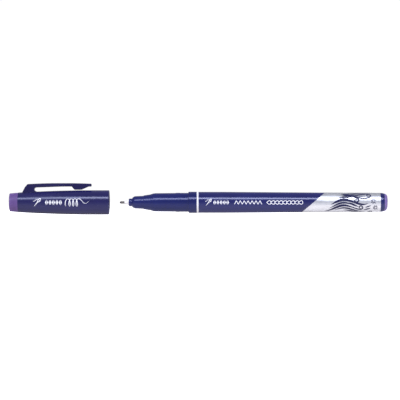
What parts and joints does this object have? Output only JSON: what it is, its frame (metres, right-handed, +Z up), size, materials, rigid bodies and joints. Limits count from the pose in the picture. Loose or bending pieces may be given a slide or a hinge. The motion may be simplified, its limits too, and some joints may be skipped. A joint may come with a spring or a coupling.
{
  "type": "fabric marking pen",
  "caption": "Felt-tip fabric marking pen lying uncapped, its clip cap with a rubber eraser end in line in front of the nib.",
  "frame": {"origin": "on the surface the pen lies on, under the middle of the whole length, cap to tail", "axes": "+X along the pen from the cap's eraser end to the barrel's tail, +Z up through the clip, +Y away from the side with the print"},
  "size_m": [0.1792, 0.0116, 0.0149],
  "materials": {
    "nib_fibre": "dark grey dense fibre, matte",
    "white_plastic": "white, semi-gloss",
    "navy_section": "dark blue-violet, glossy",
    "navy_barrel": "dark navy violet, glossy, white print",
    "silver_foil": "bright silver hot-stamped foil with dark wave print",
    "ink_fibre": "ink-soaked polyester fibre",
    "clear_film": "thin milky film",
    "violet_plug": "ink-coloured violet, semi-gloss",
    "navy_cap": "dark navy violet, glossy, white print",
    "inner_cap_white": "white soft polyethylene",
    "eraser_rubber": "violet rubber, satin",
    "navy_clip": "dark navy violet, glossy"
  },
  "bodies": {
    "pen": {"nib": "nib_fibre", "nib_holder": "white_plastic", "grip_section": "navy_section", "accent_ring": "white_plastic", "barrel": "navy_barrel", "silver_foil": "silver_foil", "ink_reservoir": "ink_fibre", "reservoir_wrap": "clear_film", "tail_plug": "violet_plug"},
    "cap": {"cap_shell": "navy_cap", "inner_cap": "inner_cap_white", "eraser_tip": "eraser_rubber"},
    "clip": {"clip": "navy_clip"}
  },
  "joints": [
    {"name": "cap_slide", "type": "slide", "parent": "pen", "child": "cap", "axis": [1, 0, 0], "range_m": [0, 0.03753]},
    {"name": "clip_flex", "type": "hinge", "parent": "cap", "child": "clip", "pos_m": [-0.08353, 0, 0.01053], "axis": [0, -1, 0], "range_deg": [0, 4], "stiffness_Nm_per_rad": 2}
  ]
}
